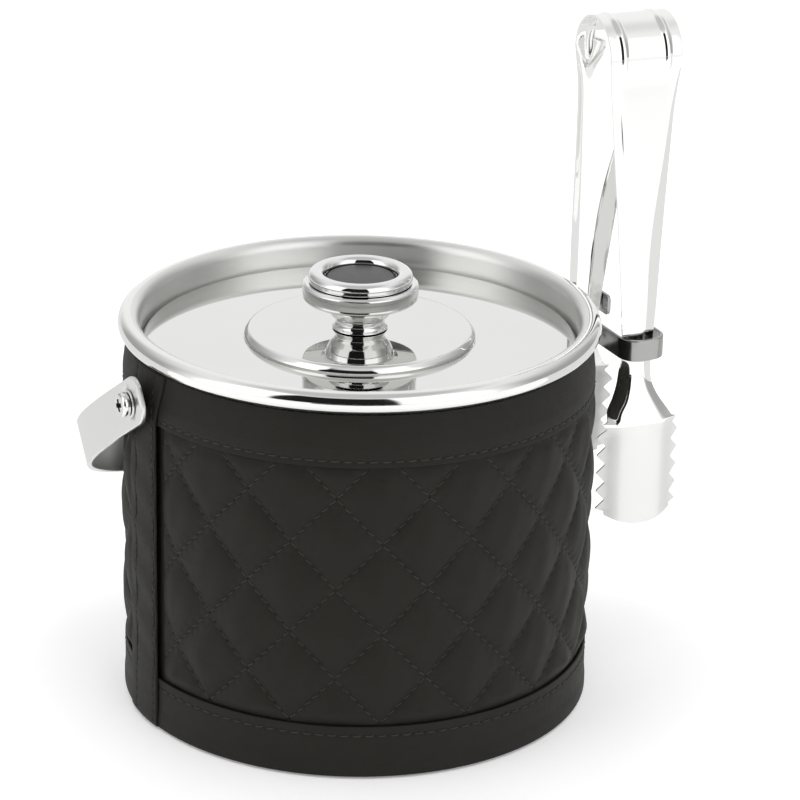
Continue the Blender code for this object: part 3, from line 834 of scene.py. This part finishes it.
def turned(name, profile, material, body, slot, node, side=None, steps=64, radius=0.18, cross=None):
    """A small turned piece with eased corners, upright or lying along the pivot axis."""
    on_axis = profile[0][0] == 0
    outline = fillet(profile, radius, 4, closed=not on_axis)
    obj = lathe(name, outline, material, steps, sharp=40)
    if cross:
        phillips(obj, *cross)
    if side:
        lay_along_x(obj, side)
    finish_piece(obj, body, slot, node)


def pivots():
    """Bush, washer, stand-off and screw of each pivot. Radii round the pivot axis, and distances out from the
    bucket's axis."""
    for side, word in ((-1, "left"), (1, "right")):
        bush = [(2.3, 82.25, 0.1), (4.3, 82.25, 0.25), (4.4, 82.9, 0.3), (4.1, 83.3, 0.2), (4.4, 83.7, 0.3),
                (4.3, 84.4, 0.25), (2.3, 84.4, 0.1)]
        turned(f"pivot_bush_turned_{word}", bush, BRASS, "bucket", "nickel_brass", f"pivot_bush_{word}", side)
    washer = [(2.3, 86.8), (5.0, 86.8, 0.15), (5.0, 87.35, 0.2), (2.3, 87.4)]
    turned("pivot_washer_turned", washer, CHROME, "bucket", "polished_steel", "pivot_washer_left", -1, radius=0.1)
    head = [(0, 73.2), (2.0, 73.2), (2.0, 87.65, 0.05), (4.2, 87.65, 0.15), (4.2, 89.4, 0.5), (3.6, 90.1, 1.0),
            (1.8, 90.35, 1.5), (0, 90.4)]
    turned("pivot_screw_turned_left", head, CHROME, "bucket", "polished_steel", "pivot_screw_left", -1,
           cross=(90.3, 2.3, 1.6))
    standoff = [(2.3, 86.8), (3.0, 86.8), (3.0, 91.95), (2.3, 91.95)]
    turned("clip_standoff_turned", standoff, CHROME, "bucket", "polished_steel", "clip_standoff", 1, radius=0.15)
    head = [(0, 73.2), (2.0, 73.2), (2.0, 93.8, 0.05), (3.6, 93.8, 0.1), (3.6, 94.2, 0.3), (2.9, 94.6, 0.5),
            (0, 94.7)]
    turned("pivot_screw_turned_right", head, CHROME, "bucket", "polished_steel", "pivot_screw_right", 1,
           cross=(94.7, 1.6, 0.6))


def bail():
    """The carrying strap: flat stainless steel, its edges eased and its ends rounded about the pivots."""
    bend = []
    for t in np.linspace(0, math.pi, 241):
        across = math.copysign(abs(math.cos(t)) ** (2 / BAIL_POWER), math.cos(t))
        bend.append((BAIL_R * across, BAIL_REACH * math.sin(t) ** (2 / BAIL_POWER)))
    bend = resample(bend, 1.1)[1:-1]
    half_w = BAIL_W / 2
    corner = np.linspace(0.02, math.pi / 2, 15)
    tail = [(BAIL_R, -BAIL_END + BAIL_CORNER_R * (1 - math.cos(t))) for t in corner]
    tail_w = [half_w - BAIL_CORNER_R * (1 - math.sin(t)) for t in corner]
    tail, tail_w = tail + [(BAIL_R, y) for y in (-3.4, -2.2, -1.0)], tail_w + [half_w] * 3
    path = tail + [tuple(p) for p in bend] + [(-x, y) for x, y in tail[::-1]]
    widths = tail_w + [half_w] * len(bend) + tail_w[::-1]
    strap = skin("bail_strap", strap_rings(path, BAIL_T, widths, 0.55, 4), STRAP_STEEL, sharp=40)
    lie_back = Matrix.Rotation(math.radians(-BAIL_REST), 4, "X")
    strap.data.transform(Matrix.Translation((0, 0, PIVOT_Z * MM)) @ lie_back)
    for side in (-1, 1):
        drill(strap, lay_along_x(lathe("hole", [(0, 80), (2.3, 80), (2.3, 90), (0, 90)], STRAP_STEEL, 32), side))
    finish_piece(strap, "bail", "polished_steel", "bail_handle")


def clip():
    """The tongs' clip: a strap bent into an open C that springs round the tongs."""
    half_gap = CLIP_HALF_W + CLIP_T / 2
    near_y, far_y = CLIP_LOW.y + CLIP_T / 2, CLIP_HIGH.y - CLIP_T / 2
    front, back = CLIP_X + half_gap, CLIP_X - half_gap
    near = front - CLIP_NEAR_TUCK
    step = 0.6
    path = [(near, -CLIP_LIP_Y)] + arc(near - 5.5, near_y + 5.5, 5.5, 0, -90, 14)
    path += arc(back + 6, near_y + 6, 6, -90, -180, 14) + [(back, 0.0)] + arc(back + 6, far_y - 6, 6, 180, 90, 14)
    path += arc(front - 5, far_y - 5, 5, 90, 0, 14) + [(front, CLIP_LIP_Y)]
    path = resample(path, step)
    from_end = np.minimum(np.arange(len(path)), np.arange(len(path))[::-1]) * step
    # the lips' corners are rounded
    widths = [CLIP_H / 2 - 1.6 * (1 - math.sqrt(max(0.0, 1 - (1 - min(d / 1.8, 1.0)) ** 2))) for d in from_end]
    strap = skin("clip_strap", strap_rings(path, CLIP_T, widths, 0.42, 4), CLIP_STEEL, sharp=40)
    for vertex in strap.data.vertices:
        vertex.co.z += CLIP_Z * MM + vertex.co.y * math.tan(math.radians(CLIP_TILT))
    drill(strap, lay_along_x(lathe("hole", [(0, 88), (2.3, 88), (2.3, 96), (0, 96)], CLIP_STEEL, 32), 1))
    finish_piece(strap, "bucket", "polished_steel", "tongs_clip")


# ================================================================ lid and knob


def lid():
    """The lid's mirror-polished plate with its raised middle, and the satin pan that holds the insulation."""
    mid = LID_T / 2
    plate = [(2.4, DISC_TOP_Z - mid), (DISC_R - 1.6, DISC_TOP_Z - mid, 1.2), (DISC_R - 0.3, DISC_TOP_Z - 1.9, 0.9),
             (DISC_R + 0.1, LID_TOP_Z - mid + 0.1, 0.5), (LID_R - 1.2, LID_TOP_Z - mid, 1.0),
             (LID_R - 0.4, LEDGE_Z + 0.7)]
    path = resample(fillet(plate, 1.0, 8, closed=False), 0.35)
    obj = lathe("lid_mirror_plate", thicken(path, LID_T), LID_STEEL, 256, sharp=50)
    finish_piece(obj, "lid", "polished_steel", "lid_plate")
    pan = [(2.4, PAN_FLOOR_Z + 0.35), (PAN_R - 0.35, PAN_FLOOR_Z + 0.35, 3.0), (PAN_R - 0.35, 126.35, 0.6),
           (LID_R - 1.6, 126.35)]
    path = resample(fillet(pan, 1.0, 8, closed=False), 0.5)
    obj = lathe("lid_satin_pan", thicken(path, 0.7), BOWL_STEEL, 192, sharp=50)
    finish_piece(obj, "lid", "satin_steel", "lid_pan")


def knob():
    """The turned knob with its domed ring and black disc, and the screw and washer that hold it from below."""
    body = [(0, 147.7), (18.9, 147.7, 0.6), (19.8, 146.9, 0.6), (19.8, 142.6, 0.5), (19.2, 141.7, 0.4),
            (13.2, 141.5, 0.6), (11.6, 140.9, 0.8), (11.35, 138.6, 1.6), (10.3, 136.4, 2.0), (8.9, 134.8, 1.0),
            (8.5, 133.6, 0.8), (8.8, 132.4, 0.8), (9.7, 131.4, 0.2), (2.3, 131.4, 0.1), (2.3, 143.6, 0.1),
            (0, 143.6)]
    turned("knob_turned_body", body, CHROME, "lid", "polished_steel", "knob_body", steps=160, radius=0.3)
    dome = arc(RING_R, 149.55, RING_DOME_R, -20, 200, 26)
    ring = [(RING_BORE_R, 148.0), (17.7, 148.0)]
    ring += [(max(RING_BORE_R, RING_R + RING_STRETCH * (r - RING_R)), z) for r, z in dome]
    obj = lathe("knob_domed_ring", ring, CHROME, 160, sharp=50)
    finish_piece(obj, "lid", "polished_steel", "knob_ring")
    inlay = [(0, 148.0), (11.8, 148.0, 0.2), (11.9, 149.1, 0.5), (11.1, 149.7, 0.8), (0, 149.9)]
    turned("knob_black_inlay", inlay, INLAY, "lid", "black_plastic", "knob_inlay", steps=96, radius=0.3)
    washer = [(2.3, 113.9), (6.0, 113.9), (6.0, 114.65), (2.3, 114.65)]
    turned("knob_washer_turned", washer, CHROME, "lid", "polished_steel", "knob_washer", radius=0.12)
    screw = [(0, 142.9), (2.0, 142.9, 0.2), (2.0, 113.6, 0.05), (3.9, 113.6, 0.1), (3.9, 112.6, 0.4),
             (2.8, 111.5, 0.8), (0, 111.2)]
    obj = lathe("knob_screw_turned", fillet(screw, 0.2, 4, closed=False), CHROME, 64, sharp=40)
    finish_piece(obj, "lid", "polished_steel", "knob_screw")


# ================================================================ tongs

# Down one arm: z, half width, reach of the flat face to the left and to the right, outer face's distance from the
# mid plane, and how far the left and right edges are bent back towards it
ARM = [(0.0, 13.75, 12.9, 13.0, 14.1, 0.2, 0.15), (-6.0, 13.1, 11.8, 12.0, 14.3, 0.9, 0.6),
       (-12.0, 12.3, 10.5, 10.8, 14.9, 1.7, 1.1), (-33.0, 10.6, 8.2, 7.4, 17.0, 2.2, 1.9),
       (-62.0, 8.6, 5.4, 2.6, 19.9, 1.9, 2.6), (-90.0, 6.7, 3.6, 1.4, 21.9, 1.5, 2.0),
       (-105.0, 5.7, 2.9, 1.5, 22.6, 1.5, 1.8), (-112.0, 5.6, 3.5, 2.2, 23.2, 4.2, 1.8),
       (-116.0, 6.4, 4.4, 3.2, 24.3, 4.6, 2.0), (-120.0, 8.3, 6.0, 5.0, 25.8, 4.8, 2.2),
       (-124.5, 11.3, 9.0, 7.0, 27.4, 4.2, 2.0), (-127.1, 12.9, 8.4, 8.0, 28.4, 1.6, 1.6)]
CLAW_TOP_Z = ARM[-1][0]
TIP_HALF_W, ROOT_HALF_W = 16.0, 12.9
CLAW_FLAT, CLAW_BACK = (8.4, 8.0), 28.8
CLAW_SLOPES = (0.34, 0.34)
CLAW_END_Z = FIRST_TOOTH_Z - (TEETH - 0.5) * TOOTH_PITCH - 2.6
ARM_BEND, CLAW_BEND = 0.9, 1.5  # how gently the edges are bent
RIBS = (-8.75, 8.2)  # where the ribs lie across the bow
RIB_HALF_W, RIB_RISE = 1.7, 0.5


def along_arm(column, z):
    """One of the arm's measures at a height, eased between its stations."""
    stations = ARM[::-1]
    heights = [s[0] for s in stations]
    values = np.array([s[column] for s in stations])
    slopes = np.gradient(values, heights)
    k = int(np.clip(np.searchsorted(heights, z) - 1, 0, len(heights) - 2))
    width = heights[k + 1] - heights[k]
    t = (z - heights[k]) / width
    rise = (values[k + 1] - values[k]) / width
    # a slope that would overshoot the next station is cut down
    low, high = (0 if rise * slope <= 0 else math.copysign(min(abs(slope), 3 * abs(rise)), rise)
                 for slope in slopes[k:k + 2])
    return float(values[k] * (1 + 2 * t) * (1 - t) ** 2 + width * low * t * (1 - t) ** 2
                 + values[k + 1] * t * t * (3 - 2 * t) + width * high * t * t * (t - 1))


def across_strip(flats, half_w, fixed=None):
    """Places across the strip, from edge to edge: close together at the bends, which they follow down the arm.
    Where the edge is toothed, fixed keeps all but the outermost in line."""
    share = np.array([0.03, 0.07, 0.12, 0.2, 0.3, 0.45, 0.6, 0.75, 0.88, 1.0])
    halves = []
    for flat in flats:
        on_flat = np.concatenate([np.linspace(0, 0.92, 28), [0.95, 0.98, 1.0]]) * flat
        on_edge = flat + share * ((fixed or half_w) - flat)
        if fixed:
            on_edge[-3:] = on_edge[-4] + (half_w - on_edge[-4]) * np.array([0.34, 0.67, 1.0])
        halves.append(np.concatenate([on_flat, on_edge]))
    return np.concatenate([-halves[0][:0:-1], halves[1]])


def bent_back(u, flats, slopes, bend):
    """How far the strip's edges fall away beyond its flat face, on its left and on its right."""
    left, right = (slope * (past + np.sqrt(past**2 + bend**2)) / 2
                   for slope, past in ((slopes[0], -u - flats[0]), (slopes[1], u - flats[1])))
    return left + right


def strip_row(z):
    """(places across, fall of each from the outer face, distance of that face) at a height below the bow."""
    if z > CLAW_TOP_Z:
        half_w, left, right, back, deep_left, deep_right = (along_arm(k, z) for k in range(1, 7))
        u = across_strip((left, right), half_w)
        bend = ARM_BEND + (CLAW_BEND - ARM_BEND) * float(smoothstep(-112, -129, z))
        bend = min(bend, 1.2 * (half_w - max(left, right)))
        slopes = (deep_left / (half_w - left), deep_right / (half_w - right))
        return u, bent_back(u, (left, right), slopes, bend), back
    tooth = (FIRST_TOOTH_Z - z) / TOOTH_PITCH
    saw = abs(tooth - round(tooth)) * 2
    half_w = TIP_HALF_W + (ROOT_HALF_W - TIP_HALF_W) * min(saw, 1.0)
    if z < FIRST_TOOTH_Z - (TEETH - 1) * TOOTH_PITCH - TOOTH_PITCH / 2:
        half_w = ROOT_HALF_W
    u = across_strip(CLAW_FLAT, half_w, ROOT_HALF_W)
    swelling = 0.5 * np.minimum(np.abs(u) / CLAW_FLAT[1], 1.6) ** 2
    fade = float(smoothstep(CLAW_TOP_Z, CLAW_TOP_Z - 5, z))
    fall = bent_back(u, CLAW_FLAT, CLAW_SLOPES, CLAW_BEND) + swelling * fade
    return u, fall, CLAW_BACK - 0.4 + 0.4 * fade + 0.06 * (CLAW_TOP_Z - z)


def rib(u, s):
    """Height of the two ribs pressed over the bow, at u across the strip and s along it from the crown."""
    end = BOW_R * math.pi / 2
    length = 1 - smoothstep(end + 0.5, end + 6.5, s)
    half_w = RIB_HALF_W * (0.35 + 0.65 * length)
    rise = sum(np.clip(1 - ((u - middle) / half_w) ** 2, 0, 1) ** 2 for middle in RIBS)
    return RIB_RISE * rise * length


def tongs_half(word, side):
    """Half the bow and one arm, from the crown down to the toothed claw, as one sheet of steel."""
    rings = []
    bow_u, bow_fall, _ = strip_row(0.0)
    for t in np.linspace(0, math.pi / 2, 36)[:-1]:
        lift = rib(bow_u, BOW_R * t) - bow_fall * smoothstep(0.3, 1, t / (math.pi / 2))
        sheet = []
        for offset in (0.0, -SHEET_T):
            reach = BOW_R + offset + lift
            sheet.append(np.stack([bow_u, side * math.sin(t) * reach, math.cos(t) * reach], -1))
        rings.append(np.vstack([sheet[0], sheet[1][::-1]]))
    heights = list(np.arange(0.0, CLAW_TOP_Z + 12, -1.2)) + list(np.arange(CLAW_TOP_Z + 12, CLAW_TOP_Z, -0.5))
    heights += list(np.arange(CLAW_TOP_Z, FIRST_TOOTH_Z - (TEETH - 0.5) * TOOTH_PITCH - 0.01, -TOOTH_PITCH / 12))
    heights += [CLAW_END_Z + 1.9, CLAW_END_Z + 1.2, CLAW_END_Z + 0.6, CLAW_END_Z]
    for z in heights:
        u, fall, back = strip_row(z)
        lift = rib(u, BOW_R * math.pi / 2 - z)
        low_end = float(smoothstep(CLAW_END_Z + 6.5, CLAW_END_Z, z)) if z < CLAW_END_Z + 6.5 else 0.0
        curved = z + 3.6 * (u / ROOT_HALF_W) ** 2 * low_end
        outer = np.stack([u, side * (back - fall + lift), curved], -1)
        inner = np.stack([u * 0.985, side * (back - fall + lift - SHEET_T), curved], -1)
        rings.append(np.vstack([outer, inner[::-1]]))
    obj = skin(f"tongs_{word}_half", rings, [TONGS_STEEL, CLAW_STEEL], sharp=38)
    for face in obj.data.polygons:
        if face.center.z < (CLAW_TOP_Z - 0.9) * MM:
            face.material_index = 1
    turn = Euler([math.radians(a) for a in TONGS_TURN]).to_matrix().to_4x4()
    into_place = Matrix.Translation(Vector(TONGS_AT) * MM) @ turn
    obj.data.transform(into_place)
    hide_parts("tongs_bow", f"tongs_{word}_arm")
    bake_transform(obj)


# ================================================================ stage

CAMERA_AT = (-0.5434, -1.0177, 0.5521)
CAMERA_LOOKS = (0.44921, 0.81697, -0.36164)
CAMERA_ROLL = 0.0194
CAMERA_LENS = 161.7
OPENING_AZIMUTH = -118.8  # which way the tent's opening faces, from the bucket
CARD_TURN = (-40, 19)  # the opening's edges, in degrees from that bearing
CARD_HEIGHT = (-25, 58)
CARD_DEPTH = 0.985
SOFTBOX_TURN = ((-80, -42), (21, 66))
SOFTBOX_HEIGHT = (-20, 62)
SOFTBOX_GAIN = 0.45
DIM_TURN = ((-150, -92), (78, 150))
DIM_DEPTH = 0.58
ZENITH_DEPTH = 0.4
FLAG_TURN = (-20, 19)
FLAG_NEAR = 0.85  # the dark floor beyond the table starts this far in front of the bucket
FLAG_FAR = 3.5
GREY_CARD_NEAR = 0.16
FLOOR_REACH = 4.0
FLOOR_GLOW = 0.22


def hidden_cad_finishes():
    """Finishes for the CAD nodes that stay as they are inside the walls."""
    finishes = {"insulation_jacket": FOAM, "lid_insulation": FOAM, "outer_shell": BOWL_STEEL,
                "base_plate": PLASTIC, "pivot_nut_left": CHROME, "pivot_nut_right": CHROME}
    for name, material in finishes.items():
        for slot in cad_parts[name].material_slots:
            slot.material = material


def camera():
    """At the height of someone standing over the table, looking down the bucket's front-left side."""
    forward = Vector(CAMERA_LOOKS).normalized()
    right = forward.cross(Vector((0, 0, 1))).normalized()
    up = right.cross(forward)
    side = right * math.cos(CAMERA_ROLL) + up * math.sin(CAMERA_ROLL)
    top = up * math.cos(CAMERA_ROLL) - right * math.sin(CAMERA_ROLL)
    data = bpy.data.cameras.new("camera")
    data.lens, data.sensor_width = CAMERA_LENS, 36.0
    data.clip_start, data.clip_end = 0.05, 20
    cam = link("camera", data)
    cam.matrix_world = Matrix.Translation(CAMERA_AT) @ Matrix((side, top, -forward)).transposed().to_4x4()
    bpy.context.scene.camera = cam


def overhead_light():
    """One broad light over the table. The steel doesn't see it."""
    data = bpy.data.lights.new("overhead", "AREA")
    data.shape, data.size, data.size_y = "RECTANGLE", 2.4, 2.4
    data.energy = 14
    light = link("overhead", data)
    light.location = (0.0, 0.1, 1.6)
    light.rotation_euler = (-light.location).to_track_quat("-Z", "Y").to_euler()
    light.visible_glossy = False


def window(tree, value, low, high, soft):
    """1 between low and high, fading to 0 over soft on each side."""
    return times(tree, ramp(tree, value, low - soft, low + soft, 0.0, 1.0),
                 ramp(tree, value, high - soft, high + soft, 1.0, 0.0))


def studio_sky(tree):
    """A white tent. The polished steel sees its dark opening, a soft light on each side of that, a dimmer stretch
    to the left and right and a greyer roof."""
    direction = add(tree, "ShaderNodeTexCoord").outputs["Generated"]
    bearing = add(tree, "ShaderNodeVectorRotate", {"Vector": direction, "Angle": math.radians(OPENING_AZIMUTH)},
                  rotation_type="Z_AXIS", invert=True)
    split = add(tree, "ShaderNodeSeparateXYZ", {"Vector": bearing.outputs[0]})
    turn = math_node(tree, "DEGREES", math_node(tree, "ARCTAN2", split.outputs["Y"], split.outputs["X"]))
    height = math_node(tree, "DEGREES", math_node(tree, "ARCSINE", split.outputs["Z"]))
    card = times(tree, window(tree, turn, *CARD_TURN, 1.5), window(tree, height, *CARD_HEIGHT, 3))
    boxes = plus(tree, *(window(tree, turn, *box, 5) for box in SOFTBOX_TURN))
    boxes = times(tree, boxes, window(tree, height, *SOFTBOX_HEIGHT, 6))
    sides = plus(tree, *(window(tree, turn, *side, 14) for side in DIM_TURN))
    dim = times(tree, times(tree, sides, ramp(tree, height, 12.0, 60.0, 1.0, 0.0)), DIM_DEPTH)
    roof = ramp(tree, height, 50.0, 74.0, 0.0, ZENITH_DEPTH)
    level = math_node(tree, "SUBTRACT", 1.0, plus(tree, dim, roof))
    level = plus(tree, level, times(tree, boxes, SOFTBOX_GAIN))
    level = times(tree, level, math_node(tree, "SUBTRACT", 1.0, times(tree, card, CARD_DEPTH)))
    seen = add(tree, "ShaderNodeLightPath").outputs["Is Camera Ray"]
    background = tree.nodes["Background"].inputs
    tree.links.new(math_node(tree, "MAXIMUM", seen, level), background["Strength"])
    background["Color"].default_value = (1, 1, 1, 1)


def flat_sheet(name, corners, material):
    """A four-cornered part of the studio, not of the bucket."""
    mesh = bpy.data.meshes.new(name)
    mesh.from_pydata(corners, [], [(0, 1, 2, 3)])
    mesh.materials.append(material)
    sheet = link(name, mesh)
    return sheet


def flag(name, turns, near_left, near_right, glow):
    """A card lying on the floor out of view, which only the steel's reflections see. It fans out from the bucket
    between two turns, from its near edge's distance at each of them to FLAG_FAR."""
    points = []
    for turn, away in ((turns[0], near_left), (turns[0], FLAG_FAR), (turns[1], FLAG_FAR), (turns[1], near_right)):
        bearing = math.radians(OPENING_AZIMUTH + turn)
        points.append((away * math.cos(bearing), away * math.sin(bearing), 0.002))
    material, _, shader = start_material(name, Specular_IOR_Level=0.0, Emission_Strength=1.0)
    shader.inputs["Base Color"].default_value = (0, 0, 0, 1)
    shader.inputs["Emission Color"].default_value = (glow, glow, glow, 1)
    card = flat_sheet(name, points, material)
    card.visible_camera = card.visible_diffuse = card.visible_shadow = False


def stage():
    """A white floor under a white studio sky, and one broad light overhead."""
    scene = bpy.context.scene
    scene.view_settings.view_transform = "Standard"
    world = bpy.data.worlds.new("studio")
    world.use_nodes = True
    scene.world = world
    studio_sky(world.node_tree)

    white = plain_grain("white_floor", (0.93, 0.93, 0.93), (0.95, 0.95, 0.95), (0.8, 0.9), 40, 0.0)
    shader = white.node_tree.nodes["Principled BSDF"]
    shader.inputs["Emission Color"].default_value = (1, 1, 1, 1)
    shader.inputs["Emission Strength"].default_value = FLOOR_GLOW
    corners = [(x * FLOOR_REACH, y * FLOOR_REACH, 0) for x, y in ((-1, -1), (1, -1), (1, 1), (-1, 1))]
    flat_sheet("floor", corners, white)
    flag("table_edge", FLAG_TURN, *(FLAG_NEAR / math.cos(math.radians(turn)) for turn in FLAG_TURN), 0.01)
    flag("grey_card_right", (92, 165), GREY_CARD_NEAR, GREY_CARD_NEAR, 0.86)
    flag("grey_card_left", (-165, -92), GREY_CARD_NEAR, GREY_CARD_NEAR, 0.86)
    overhead_light()


inner_liner()
jacket()
for strip_side in ("left", "right"):
    seam_strip(strip_side)
base()
pivots()
bail()
clip()
lid()
knob()
tongs_half("front", -1)
tongs_half("rear", 1)
hidden_cad_finishes()
camera()
stage()
